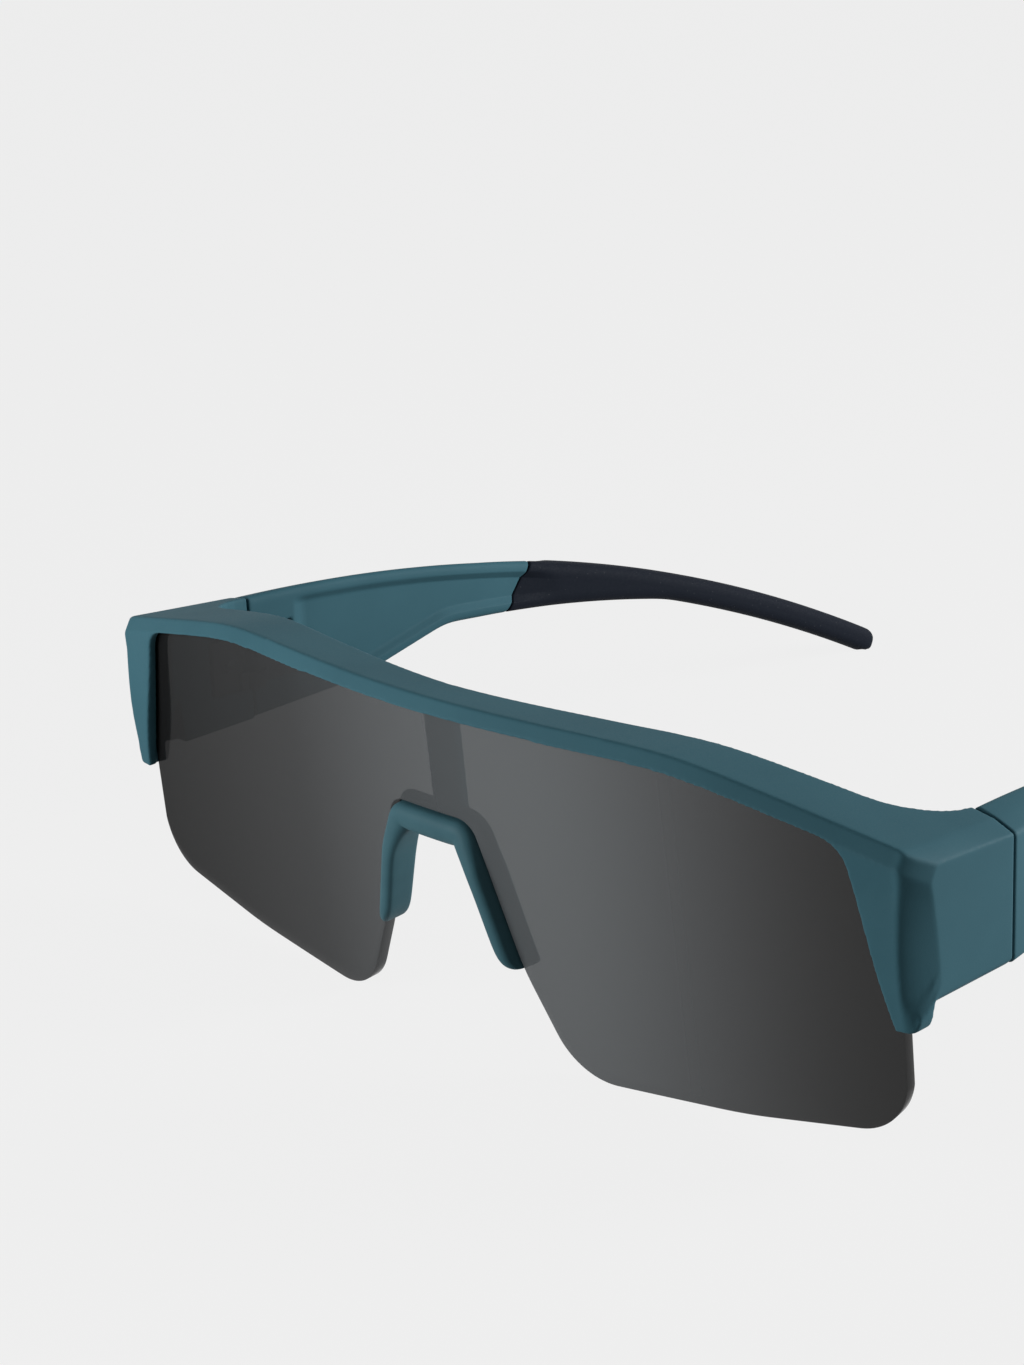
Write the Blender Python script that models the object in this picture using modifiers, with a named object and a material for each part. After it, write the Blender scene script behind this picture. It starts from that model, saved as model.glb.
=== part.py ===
"""Fit-over sunglasses: a one-piece shield lens under a brow frame, with two folding temples."""
import math

import bmesh
import bpy
import numpy as np
from mathutils import Vector

MM = 0.001

# Fits shared by all pieces
CLEARANCE = 0.3 * MM
OVERRUN = 4.0 * MM
MERGE = 0.01 * MM

# Whole object: x across the face, y from front to back, z up from the table
OVERALL_WIDTH = 150.0 * MM
OVERALL_DEPTH = 173.5 * MM
HALF_WIDTH = OVERALL_WIDTH / 2

# Brow: the front face sweeps back as a soft V
BROW_NOSE_ROUND = 27.0 * MM
BROW_RAKE_SHARE = 0.205
RIDGE_HEIGHT = 51.8 * MM
FACE_HEIGHT = 2.1 * MM
RIDGE_SETBACK = 1.3 * MM
KNEE_X = 41.5 * MM
KNEE_SOFTNESS = 6.0 * MM
KNEE_DROP_SHARE = 0.225
SHELF_DEPTH = 7.4 * MM
SHELF_FLARE_SHARE = 0.055
SHELF_THICKNESS = 2.2 * MM
SHELF_FILLET = 8.0 * MM
TOP_FALL_SHARE = 0.13
TOP_FALL_LOSS_SHARE = 0.035

# Lens: a tinted sheet that leans back towards the cheeks
LENS_RECESS = 1.75 * MM
LENS_THICKNESS = 1.9 * MM
LENS_ENGAGEMENT = 0.7 * MM
LENS_TILT_SHARE = 0.132
LENS_TILT_LOSS_SHARE = 0.062
LENS_HALF_WIDTH = 71.5 * MM
LENS_TOP_CORNER_RADIUS = 2.0 * MM
LENS_COLUMN_STEP = 0.15 * MM
LENS_OUTER_CORNER_Z = 6.0 * MM
LENS_OUTER_CORNER_RADIUS = 8.6 * MM
LENS_BELLY_X = 47.5 * MM
LENS_BELLY_Z = 1.7 * MM
LENS_BELLY_RADIUS = 90.0 * MM
LENS_INNER_CORNER_X = 20.6 * MM
LENS_INNER_CORNER_Z = -0.6 * MM
LENS_INNER_CORNER_RADIUS = 9.5 * MM
NOSE_CUT_TOP_Z = 34.4 * MM
NOSE_CUT_TOP_HALF = 7.6 * MM
NOSE_CUT_TOP_RADIUS = 3.2 * MM
NOSE_CUT_WAIST_X = 13.4 * MM
NOSE_CUT_WAIST_Z = 14.0 * MM
NOSE_CUT_WAIST_RADIUS = 30.0 * MM

# Legs and end pieces of the frame
LEG_BOTTOM_Z = 21.0 * MM
LEG_BACK_DEPTH = 15.8 * MM
LEG_INNER_BOTTOM_X = 71.4 * MM
LEG_SWELL = 0.75 * MM
LEG_SWELL_TOP_Z = 40.0 * MM
LEG_ROWS = 8
OPENING_CORNER_X = 65.2 * MM
OPENING_CORNER_RADIUS = 4.5 * MM
END_BOTTOM_Z = 24.1 * MM
END_WALL = 6.6 * MM
END_ROUND_X = 2.2 * MM
END_ROUND_TOP_DEPTH = 3.0 * MM
END_ROUND_DEPTH = 5.4 * MM
END_ROUND_TOP_Z = 43.0 * MM
END_ROUND_FULL_Z = 29.0 * MM
END_ROUND_LOW_Z = 23.2 * MM
END_ROUND_SWING = 3.0 * MM
END_ROUND_NUB_DEPTH = 1.4 * MM
END_ROUND_POWER = 1.5
END_STEPS = 8
END_CORNER_POWER = 1.6
END_CHAMFER_X = 3.0 * MM
END_CHAMFER_FRONT_Z = 2.3 * MM
END_CHAMFER_REAR_Z = 1.3 * MM
END_BEVEL_X = 1.0 * MM
END_BEVEL_Z = 1.0 * MM
NUB_SKIN = 0.15 * MM
NUB_POWER = 6
REAR_LIP = 1.3 * MM
SEAM_DEPTH = 31.0 * MM

# Strap behind the lens, from the brow down to the nose piece
STRAP_WIDTH = 5.7 * MM
STRAP_THICKNESS = 1.5 * MM
STRAP_BOTTOM_Z = 32.6 * MM
STRAP_SPREAD_SHARE = 0.055

# Nose piece: a soft U that grips the lens's nose cut
NOSE_FLANGE_WIDTH = 0.9 * MM
NOSE_FLANGE_THICKNESS = 0.5 * MM
SADDLE_BACK_THICKNESS = 0.7 * MM
SADDLE_HEIGHT = 4.1 * MM
SADDLE_PROUD = 0.9 * MM
PAD_FRONT_WIDTH = 2.1 * MM
PAD_PROUD = 2.2 * MM
PAD_BACK_DEPTH = 4.3 * MM
PAD_TIP_DEPTH = 3.0 * MM
PAD_FLARE = 0.5 * MM
PAD_THICKNESS = 2.1 * MM
PAD_TIP_Z = 13.7 * MM
PAD_END_LENGTH = 3.5 * MM
PAD_END_SHARE = 0.45
NOSE_STEP = 2.6 * MM

# Temples: a deep bar at the hinge that narrows to a bent rubber tip
TEMPLE_LEAN_SHARE = 0.06
TEMPLE_TOP_FALL_SHARE = 0.03
TEMPLE_BELLY_RISE_SHARE = 0.043
TEMPLE_CLIMB_DEPTH = 52.0 * MM
TEMPLE_CORNER_DEPTH = 70.5 * MM
TEMPLE_BAR_HEIGHT = 10.1 * MM
TEMPLE_BAR_THICKNESS = 4.6 * MM
TEMPLE_EDGE = 0.7 * MM
TEMPLE_JOINT_DEPTH = 86.0 * MM
TEMPLE_JOINT_SLANT_SHARE = 0.8
TEMPLE_JOINT_HEIGHT = 8.6 * MM
PANEL_START_DEPTH = 42.0 * MM
PANEL_BORDER = 1.7 * MM
PANEL_BEVEL = 1.1 * MM
PANEL_RECESS = 0.8 * MM
PANEL_LIMIT_SHARE = 0.2
TIP_NECK_DEPTH = 121.0 * MM
TIP_NECK_HEIGHT = 4.9 * MM
TIP_HEIGHT = 5.0 * MM
TIP_END_TOP_Z = 2.9 * MM
TIP_SLANT_SHARE = 0.45
TIP_THICKNESS = 3.9 * MM
TIP_EDGE = 1.1 * MM
TIP_END_ROUND = 1.8 * MM
TIP_END_SHARES = ((0.6, 0.14), (1.0, 0.45))

# Hinge: three barrels round one screw, with a plate on each side of the seam
HINGE_HEIGHT_SHARE = 0.44
HINGE_INSET = 0.8 * MM
BARREL_RADIUS = 1.5 * MM
PLATE_THICKNESS = 1.0 * MM
PLATE_PROUD = 0.2 * MM
PLATE_LENGTH = 6.0 * MM
HINGE_SCREW_RADIUS = 0.6 * MM
HINGE_HEAD_RADIUS = 1.15 * MM
HINGE_HEAD_HEIGHT = 0.7 * MM
LEAF_SCREW_RADIUS = 0.5 * MM
LEAF_SCREW_LENGTH = 3.2 * MM
LEAF_HEAD_RADIUS = 1.0 * MM
LEAF_HEAD_HEIGHT = 0.5 * MM
LEAF_HEAD_CROWN_SHARE = 0.7

# Steel core that carries each rubber tip
CORE_RADIUS = 0.7 * MM
CORE_FRONT_REACH = 18.0 * MM
CORE_END_MARGIN = 12.0 * MM


def depth_to_y(depth):
    """World y of a place that lies depth behind the foremost point of the brow."""
    return depth - OVERALL_DEPTH / 2


def brow_drop(x):
    """How far the ridge has fallen at x: level in the middle, then a straight slope."""
    run = abs(x) - KNEE_X
    return KNEE_DROP_SHARE * (run + math.hypot(run, KNEE_SOFTNESS)) / 2


def ridge_z(x):
    return RIDGE_HEIGHT - brow_drop(x)


def opening_top_z(x):
    return ridge_z(x) - FACE_HEIGHT


def sweep(x):
    """Depth of the brow's front edge at x."""
    return BROW_RAKE_SHARE * (math.hypot(x, BROW_NOSE_ROUND) - BROW_NOSE_ROUND)


def front_y(x, z):
    """World y of the front face, which leans back below the brow."""
    tilt = LENS_TILT_SHARE - LENS_TILT_LOSS_SHARE * (x / HALF_WIDTH) ** 2
    return depth_to_y(sweep(x) + tilt * (opening_top_z(0) - z))


def lens_y(x, z):
    """World y of the lens's front surface."""
    return front_y(x, z) + LENS_RECESS


def ridge_y(x):
    return front_y(x, opening_top_z(x)) + RIDGE_SETBACK


def top_z(x, y):
    """Height of the frame's top surface, which falls gently towards the back."""
    fall = TOP_FALL_SHARE - TOP_FALL_LOSS_SHARE * (x / HALF_WIDTH) ** 2
    return ridge_z(x) - fall * (y - ridge_y(x))


def inner_wall_x():
    return HALF_WIDTH - END_WALL


def shelf_back_y(x):
    """World y of the shelf's rear edge, with a fillet where it meets the end piece."""
    y = ridge_y(x) + SHELF_DEPTH + SHELF_FLARE_SHARE * abs(x)
    into = abs(x) - (inner_wall_x() - SHELF_FILLET)
    if into > 0:
        y += SHELF_FILLET - math.sqrt(max(SHELF_FILLET ** 2 - into ** 2, 0))
    return y


def rounded_path(corners, steps):
    """Points of an open path whose inner corners, given as (x, z, radius), are arcs."""
    points = [Vector(corners[0][:2])]
    for before, corner, after in zip(corners, corners[1:], corners[2:]):
        here = Vector(corner[:2])
        into = (Vector(before[:2]) - here).normalized()
        out = (Vector(after[:2]) - here).normalized()
        half = into.angle(out) / 2
        reach = corner[2] / math.tan(half)
        centre = here + (into + out).normalized() * corner[2] / math.sin(half)
        start = here + into * reach - centre
        turn = math.pi - 2 * half
        sign = 1 if start.cross(here + out * reach - centre) > 0 else -1
        for step in range(steps + 1):
            angle = sign * turn * step / steps
            cosine, sine = math.cos(angle), math.sin(angle)
            points.append(centre + Vector((start.x * cosine - start.y * sine,
                                           start.x * sine + start.y * cosine)))
    points.append(Vector(corners[-1][:2]))
    return points


def clear_scene():
    for item in list(bpy.data.objects):
        bpy.data.objects.remove(item, do_unlink=True)


def new_collection(name):
    collection = bpy.data.collections.new(name)
    bpy.context.scene.collection.children.link(collection)
    return collection


def material(name, colour, roughness, metallic=0.0):
    """A Principled material in one colour."""
    made = bpy.data.materials.new(name)
    made.use_nodes = True
    shader = made.node_tree.nodes["Principled BSDF"]
    shader.inputs["Base Color"].default_value = (*colour, 1.0)
    shader.inputs["Roughness"].default_value = roughness
    shader.inputs["Metallic"].default_value = metallic
    made.diffuse_color = (*colour, 1.0)
    return made


def add_mesh(name, vertices, faces, collection, finish=None):
    """An object from vertices and faces, with all faces turned outwards."""
    mesh = bpy.data.meshes.new(name)
    mesh.from_pydata([tuple(v) for v in vertices], [], faces)
    shape = bmesh.new()
    shape.from_mesh(mesh)
    bmesh.ops.recalc_face_normals(shape, faces=shape.faces)
    shape.to_mesh(mesh)
    shape.free()
    made = bpy.data.objects.new(name, mesh)
    collection.objects.link(made)
    if finish is not None:
        mesh.materials.append(finish)
    return made


def loft(name, rings, collection, finish=None, cap_start=True, cap_end=True):
    """A skin over rings that have the same number of points."""
    count = len(rings[0])
    vertices = [point for ring in rings for point in ring]
    faces = []
    for row in range(len(rings) - 1):
        for step in range(count):
            near = row * count + step
            side = row * count + (step + 1) % count
            faces.append((near, side, side + count, near + count))
    if cap_start:
        faces.append(tuple(range(count)))
    if cap_end:
        faces.append(tuple(range(len(vertices) - count, len(vertices))))
    return add_mesh(name, vertices, faces, collection, finish)


def hide_cutter(cutter):
    cutter.hide_render = True
    cutter.display_type = "WIRE"
    return cutter


def boolean(target, tool, operation):
    step = target.modifiers.new(operation.lower() + "_" + tool.name, "BOOLEAN")
    step.object = tool
    step.operation = operation
    step.solver = "EXACT"


def mirror_half(half):
    step = half.modifiers.new("mirror", "MIRROR")
    step.use_clip = True
    step.merge_threshold = MERGE


def box(name, low, high, collection, finish=None):
    """A box between two corners."""
    shape = bmesh.new()
    bmesh.ops.create_cube(shape, size=1.0)
    for vertex in shape.verts:
        vertex.co = Vector([(a + b) / 2 + c * (b - a) for a, b, c in zip(low, high, vertex.co)])
    mesh = bpy.data.meshes.new(name)
    shape.to_mesh(mesh)
    shape.free()
    made = bpy.data.objects.new(name, mesh)
    collection.objects.link(made)
    if finish is not None:
        mesh.materials.append(finish)
    return made


def upright_cylinder(name, centre, radius, low, high, collection, sides=24):
    shape = bmesh.new()
    bmesh.ops.create_cone(shape, cap_ends=True, segments=sides, radius1=radius, radius2=radius,
                          depth=high - low)
    for vertex in shape.verts:
        vertex.co += Vector((centre[0], centre[1], (low + high) / 2))
    mesh = bpy.data.meshes.new(name)
    shape.to_mesh(mesh)
    shape.free()
    made = bpy.data.objects.new(name, mesh)
    collection.objects.link(made)
    return made


def turned(name, profile, collection, finish, sides):
    """A solid of revolution about z from (radius, z) points, top to bottom."""
    mesh = bpy.data.meshes.new(name)
    mesh.from_pydata([(radius, 0, z) for radius, z in profile],
                     [(i, i + 1) for i in range(len(profile) - 1)], [])
    if finish is not None:
        mesh.materials.append(finish)
    made = bpy.data.objects.new(name, mesh)
    collection.objects.link(made)
    step = made.modifiers.new("turn", "SCREW")
    step.axis = "Z"
    step.steps = sides
    step.render_steps = sides
    step.use_merge_vertices = True
    step.merge_threshold = MERGE
    step.use_smooth_shade = True
    return made


def share_between(value, start, end):
    """How far a value has come from start to end, from 0 to 1."""
    return min(1.0, max(0.0, (value - start) / (end - start)))


def leg_swell(x, z):
    """How far the leg's front stands ahead of the lens's slant, most at half its height."""
    down = share_between(z, LEG_SWELL_TOP_Z, LEG_BOTTOM_Z)
    across = share_between(abs(x), OPENING_CORNER_X, HALF_WIDTH - END_CHAMFER_X)
    return LEG_SWELL * math.sin(math.pi * down) * across


def end_round_depth(z):
    """Reach of the outer round along the side: it opens downwards and closes at the nub."""
    opened = math.sin(math.pi / 2 * share_between(z, END_ROUND_TOP_Z, END_ROUND_FULL_Z))
    depth = END_ROUND_TOP_DEPTH + (END_ROUND_DEPTH - END_ROUND_TOP_DEPTH) * opened
    above_nub = share_between(z, END_ROUND_LOW_Z, END_ROUND_LOW_Z + END_ROUND_SWING)
    return END_ROUND_NUB_DEPTH + (depth - END_ROUND_NUB_DEPTH) * above_nub


def front_section(x, low, bottom, out=0.0, back=0.0):
    """Section of the frame blank at x, before the openings are cut.

    Out is the share of the way over the end's chamfer, and back the share of its outer round.
    """
    front_drop = END_CHAMFER_FRONT_Z * out ** END_CORNER_POWER
    face_z = opening_top_z(x) - front_drop
    rows = [low + (face_z - low) * row / LEG_ROWS for row in range(LEG_ROWS + 1)]
    face = [(front_y(x, z) - leg_swell(x, z) + end_round_depth(z) * back, z) for z in rows]
    ridge = (ridge_y(x) + end_round_depth(face_z) * back, ridge_z(x) - front_drop)
    seam = depth_to_y(SEAM_DEPTH)
    seam_top = top_z(x, seam) - END_CHAMFER_REAR_Z * out
    leg_back = max(depth_to_y(LEG_BACK_DEPTH), face[0][0] + NUB_SKIN)
    return face + [ridge, (seam, seam_top), (seam, bottom), (leg_back, bottom), (leg_back, low)]


def end_section(out):
    """Section of the outer edge, with its round, the nub's side and the bevel under the side."""
    flat_x = HALF_WIDTH - END_CHAMFER_X
    x = flat_x + END_CHAMFER_X * out
    back = share_between(x, HALF_WIDTH - END_ROUND_X, HALF_WIDTH) ** END_ROUND_POWER
    bevel = share_between(x, HALF_WIDTH - END_BEVEL_X, HALF_WIDTH)
    bottom = END_BOTTOM_Z + END_BEVEL_Z * bevel
    low = LEG_BOTTOM_Z + (bottom - NUB_SKIN - LEG_BOTTOM_Z) * out ** NUB_POWER
    return [(x, y, z) for y, z in front_section(flat_x, low, bottom, out, back)]


def frame_blank(collection, finish):
    """Half of the frame as a lofted block, mirrored at the middle."""
    plain_count = 30
    rings = []
    for step in range(plain_count):
        x = (HALF_WIDTH - END_CHAMFER_X) * step / plain_count
        rings.append([(x, y, z) for y, z in front_section(x, LEG_BOTTOM_Z, END_BOTTOM_Z)])
    for step in range(END_STEPS + 1):
        rings.append(end_section(step / END_STEPS))
    blank = loft("front_frame", rings, collection, finish, cap_start=False)
    mirror_half(blank)
    return blank


def rear_lip_y(x, z):
    """World y of the back of the small lip that holds the lens from behind."""
    return lens_y(x, z) + LENS_THICKNESS + CLEARANCE + REAR_LIP


def opening_outline():
    """The frame's inner edge in front view, from the middle to below the leg."""
    slope_steps = 24
    low = LEG_BOTTOM_Z - OVERRUN
    corner_x = OPENING_CORNER_X
    corner_z = opening_top_z(corner_x)
    slant = (LEG_INNER_BOTTOM_X - corner_x) / (corner_z - LEG_BOTTOM_Z)
    before_x = corner_x - 2 * OPENING_CORNER_RADIUS
    corner = rounded_path([(before_x, opening_top_z(before_x), 0),
                           (corner_x, corner_z, OPENING_CORNER_RADIUS),
                           (corner_x + slant * (corner_z - low), low, 0)], 6)
    return [Vector((before_x * i / slope_steps, opening_top_z(before_x * i / slope_steps)))
            for i in range(slope_steps)] + corner


def opening_cutter(collection):
    """The front opening, cut through both lips of the lens groove."""
    half = opening_outline()
    low = half[-1].y - OVERRUN
    rings = []
    for x, z in [(-p.x, p.y) for p in reversed(half[1:])] + [(p.x, p.y) for p in half]:
        near = front_y(x, RIDGE_HEIGHT) - OVERRUN
        rings.append([(x, near, low), (x, near, z), (x, rear_lip_y(x, z) + CLEARANCE, z),
                      (x, rear_lip_y(x, low) + CLEARANCE, low)])
    return hide_cutter(loft("opening_cutter", rings, collection))


def interior_cutter(collection):
    """The room behind the lens and under the shelf, and all behind the shelf's rear edge."""
    side_steps = 24
    fillet_steps = 6
    plain = inner_wall_x() - SHELF_FILLET
    places = [plain * i / side_steps for i in range(side_steps)]
    places += [plain + SHELF_FILLET * math.sin(math.pi / 2 * i / fillet_steps)
               for i in range(fillet_steps + 1)]
    back = depth_to_y(SEAM_DEPTH + OVERRUN)
    low = LEG_BOTTOM_Z - OVERRUN
    rings = []
    for x in [-x for x in reversed(places[1:])] + places:
        roof = opening_top_z(x) + CLEARANCE
        edge_y = shelf_back_y(x)
        above = ridge_z(x) + OVERRUN
        rings.append([(x, rear_lip_y(x, low), low), (x, rear_lip_y(x, roof), roof),
                      (x, edge_y, top_z(x, edge_y) - SHELF_THICKNESS),
                      (x, edge_y, above), (x, back, above), (x, back, low)])
    return hide_cutter(loft("interior_cutter", rings, collection))


def lens_corners(grow):
    """Bottom edge of the left half of the lens: a square-cornered path with its radii."""
    return rounded_path([
        (0, NOSE_CUT_TOP_Z - grow, 0),
        (NOSE_CUT_TOP_HALF - grow, NOSE_CUT_TOP_Z - grow, NOSE_CUT_TOP_RADIUS),
        (NOSE_CUT_WAIST_X - grow, NOSE_CUT_WAIST_Z, NOSE_CUT_WAIST_RADIUS),
        (LENS_INNER_CORNER_X - grow, LENS_INNER_CORNER_Z - grow, LENS_INNER_CORNER_RADIUS),
        (LENS_BELLY_X, LENS_BELLY_Z - grow, LENS_BELLY_RADIUS),
        (LENS_HALF_WIDTH + grow, LENS_OUTER_CORNER_Z - grow, LENS_OUTER_CORNER_RADIUS),
        (LENS_HALF_WIDTH + grow, LENS_OUTER_CORNER_Z + 2 * LENS_OUTER_CORNER_RADIUS, 0)], 5)


def lens_outline(grow):
    """The bottom edge from the middle outwards, lowered until the lobes touch the table."""
    ground = min(point.y for point in lens_corners(0))
    return [Vector((point.x, point.y - ground)) for point in lens_corners(grow)]


def lens_top(x, grow):
    """Top edge of the lens, hidden in the brow's groove, with a small outer corner radius."""
    into = abs(x) - (LENS_HALF_WIDTH + grow - LENS_TOP_CORNER_RADIUS)
    z = opening_top_z(x) + LENS_ENGAGEMENT + grow
    if into > 0:
        z -= LENS_TOP_CORNER_RADIUS - math.sqrt(max(LENS_TOP_CORNER_RADIUS ** 2 - into ** 2, 0))
    return z


def lens_sheet(name, grow, collection, finish=None):
    """The lens as columns of points under its top edge, thickened backwards."""
    bottom = lens_outline(grow)
    bottom = bottom[:-1]
    rows = 7
    half = []
    for index, point in enumerate(bottom):
        if index and point.x - bottom[index - 1].x < LENS_COLUMN_STEP and index < len(bottom) - 1:
            continue
        half.append((point.x, point.y))
    columns = [(-x, z) for x, z in reversed(half[1:])] + half
    vertices = []
    for x, low in columns:
        high = lens_top(x, grow)
        for row in range(rows + 1):
            z = low + (high - low) * row / rows
            vertices.append((x, lens_y(x, z) - grow, z))
    faces = []
    for column in range(len(columns) - 1):
        for row in range(rows):
            near = column * (rows + 1) + row
            faces.append((near, near + rows + 1, near + rows + 2, near + 1))
    mesh = bpy.data.meshes.new(name)
    mesh.from_pydata(vertices, [], faces)
    made = bpy.data.objects.new(name, mesh)
    collection.objects.link(made)
    if finish is not None:
        mesh.materials.append(finish)
    thicken = made.modifiers.new("thickness", "SOLIDIFY")
    thicken.thickness = LENS_THICKNESS + 2 * grow
    thicken.offset = -1.0
    return made


def strap(collection):
    """The flat strap that hangs from the shelf behind the lens."""
    rings = []
    top = top_z(0, shelf_back_y(0)) - CLEARANCE
    behind = LENS_THICKNESS + 2 * CLEARANCE + SADDLE_BACK_THICKNESS
    for z in (STRAP_BOTTOM_Z, top):
        near = lens_y(0, z) + behind + STRAP_SPREAD_SHARE * (z - STRAP_BOTTOM_Z)
        far = near + STRAP_THICKNESS
        half = STRAP_WIDTH / 2
        rings.append([(-half, near, z), (half, near, z), (half, far, z), (-half, far, z)])
    return hide_cutter(loft("strap_tool", rings, collection))


def nose_path():
    """Centre line along the nose cut, from the left tip over the saddle to the right tip."""
    outline = lens_outline(0)
    below = next(i for i, point in enumerate(outline) if point.y <= PAD_TIP_Z)
    half = outline[:below]
    share = (half[-1].y - PAD_TIP_Z) / (half[-1].y - outline[below].y)
    half.append(half[-1] + (outline[below] - half[-1]) * share)
    dense = [half[0]]
    for start, end in zip(half, half[1:]):
        pieces = max(1, math.ceil((end - start).length / NOSE_STEP))
        dense += [start + (end - start) * i / pieces for i in range(1, pieces + 1)]
    return [Vector((-p.x, p.y)) for p in reversed(dense[1:])] + dense


def nose_piece(collection, finish):
    """The soft U: saddle, two flared pads and the flange behind the lens."""
    path = nose_path()
    lengths = [0.0]
    for start, end in zip(path, path[1:]):
        lengths.append(lengths[-1] + (end - start).length)
    total = lengths[-1]
    drop = NOSE_CUT_TOP_Z - PAD_TIP_Z
    rings = []
    for index, point in enumerate(path):
        before = path[max(index - 1, 0)]
        after = path[min(index + 1, len(path) - 1)]
        along = (after - before).normalized()
        inward = Vector((along.y, -along.x))
        arm = min(1.0, max(0.0, (NOSE_CUT_TOP_Z - point.y) / (2 * SADDLE_HEIGHT)))
        to_end = min(lengths[index], total - lengths[index])
        fade = min(1.0, PAD_END_SHARE + (1 - PAD_END_SHARE) * to_end / PAD_END_LENGTH)
        width = (SADDLE_HEIGHT + (PAD_FRONT_WIDTH - SADDLE_HEIGHT) * arm) * fade
        proud = (SADDLE_PROUD + (PAD_PROUD - SADDLE_PROUD) * arm) * fade
        behind = LENS_THICKNESS + CLEARANCE
        saddle_back = behind + SADDLE_BACK_THICKNESS
        back_depth = PAD_TIP_DEPTH + (PAD_BACK_DEPTH - PAD_TIP_DEPTH) * (point.y - PAD_TIP_Z) / drop
        reach = saddle_back + (back_depth - saddle_back) * arm * fade
        inner_back = CLEARANCE + width - PAD_FLARE * arm * fade
        outer_back = CLEARANCE + (inner_back - PAD_THICKNESS * fade - CLEARANCE) * arm
        section = [(CLEARANCE, -proud), (CLEARANCE + width, -proud),
                   (inner_back, reach), (outer_back, reach),
                   (-NOSE_FLANGE_WIDTH, behind + NOSE_FLANGE_THICKNESS),
                   (-NOSE_FLANGE_WIDTH, behind), (CLEARANCE, behind)]
        ring = []
        for offset, depth in section:
            place = point + inward * offset
            ring.append((place.x, lens_y(place.x, place.y) + depth, place.y))
        rings.append(ring)
    return loft("nose_piece", rings, collection, finish)


def temple_inner_x(depth):
    return inner_wall_x() - TEMPLE_LEAN_SHARE * (depth - SEAM_DEPTH)


def temple_thickness(depth):
    depths = (SEAM_DEPTH, TEMPLE_CORNER_DEPTH, TEMPLE_JOINT_DEPTH, OVERALL_DEPTH)
    return np.interp(depth, depths, (END_WALL, TEMPLE_BAR_THICKNESS, TEMPLE_BAR_THICKNESS,
                                     TIP_THICKNESS))


def temple_heights(depth):
    """Top and bottom height of a temple: a long arc above, a belly that climbs to a slim bar."""
    run = depth - SEAM_DEPTH
    length = OVERALL_DEPTH - SEAM_DEPTH
    start = top_z(inner_wall_x(), depth_to_y(SEAM_DEPTH))
    bend = start - TEMPLE_TOP_FALL_SHARE * length - TIP_END_TOP_Z
    top = start - TEMPLE_TOP_FALL_SHARE * run - bend * (run / length) ** 2
    knots = (TEMPLE_CORNER_DEPTH, TEMPLE_JOINT_DEPTH, TIP_NECK_DEPTH, OVERALL_DEPTH)
    heights = (TEMPLE_BAR_HEIGHT, TEMPLE_JOINT_HEIGHT, TIP_NECK_HEIGHT, TIP_HEIGHT)
    low = top - np.interp(depth, knots, heights)
    if depth < TEMPLE_CORNER_DEPTH:
        belly = END_BOTTOM_Z + TEMPLE_BELLY_RISE_SHARE * min(run, TEMPLE_CLIMB_DEPTH - SEAM_DEPTH)
        if depth < TEMPLE_CLIMB_DEPTH:
            low = belly
        else:
            corner_low = temple_heights(TEMPLE_CORNER_DEPTH)[1]
            share = (depth - TEMPLE_CLIMB_DEPTH) / (TEMPLE_CORNER_DEPTH - TEMPLE_CLIMB_DEPTH)
            low = belly + (corner_low - belly) * share
    return top, low


def limb_ring(side, depth, recess, edge, chamfer, inset=0.0, slant=0.0):
    """One section of a temple or tip: outer side, chamfered top, inner side with its panel."""
    top, low = temple_heights(depth)
    inner = temple_inner_x(depth)
    outer = inner + temple_thickness(depth)
    ledge = outer - edge + (edge - END_CHAMFER_X) * chamfer
    cross_fall = KNEE_DROP_SHARE * (ledge - inner) * chamfer
    side_top = top - cross_fall - edge + (edge - END_CHAMFER_REAR_Z) * chamfer
    wall = top - low - 2 * edge
    border = edge + min(PANEL_BORDER - edge, wall * PANEL_LIMIT_SHARE)
    bevel = border + min(PANEL_BEVEL, wall * PANEL_LIMIT_SHARE)
    points = [(outer, low + edge), (outer, side_top), (ledge, top - cross_fall),
              (inner + edge, top), (inner, top - edge), (inner, top - border),
              (inner + recess, top - bevel), (inner + recess, low + bevel),
              (inner, low + border), (inner, low + edge), (inner + edge, low), (outer - edge, low)]
    middle_x, middle_z = (inner + outer) / 2, (top + low) / 2
    fall = (middle_z - sum(temple_heights(depth + CLEARANCE)) / 2) / CLEARANCE
    squeeze = (1 - inset) / (1 + slant * fall)
    ring = []
    for x, z in points:
        x = middle_x + (x - middle_x) * (1 - inset)
        rise = (z - middle_z) * squeeze
        ring.append((side * x, depth_to_y(depth) + slant * rise, max(middle_z + rise, 0)))
    return ring


def temple(name, side, collection, finish):
    """The teal arm from the hinge seam to the slanted joint with its tip."""
    start = SEAM_DEPTH + CLEARANCE
    before_joint = TEMPLE_JOINT_DEPTH - TEMPLE_JOINT_HEIGHT
    stations = [(start, 0.0), (PANEL_START_DEPTH - 2 * PANEL_BEVEL, 0.0),
                (PANEL_START_DEPTH, 1.0), ((PANEL_START_DEPTH + TEMPLE_CLIMB_DEPTH) / 2, 1.0),
                (TEMPLE_CLIMB_DEPTH, 1.0),
                ((TEMPLE_CLIMB_DEPTH + TEMPLE_CORNER_DEPTH) / 2, 1.0),
                (TEMPLE_CORNER_DEPTH, 1.0), (before_joint, 1.0)]
    rings = [limb_ring(side, depth, PANEL_RECESS * panel, TEMPLE_EDGE, 1.0)
             for depth, panel in stations]
    rings.append(limb_ring(side, TEMPLE_JOINT_DEPTH, PANEL_RECESS, TEMPLE_EDGE, 1.0,
                           slant=TEMPLE_JOINT_SLANT_SHARE))
    return loft(name, rings, collection, finish)


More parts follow.
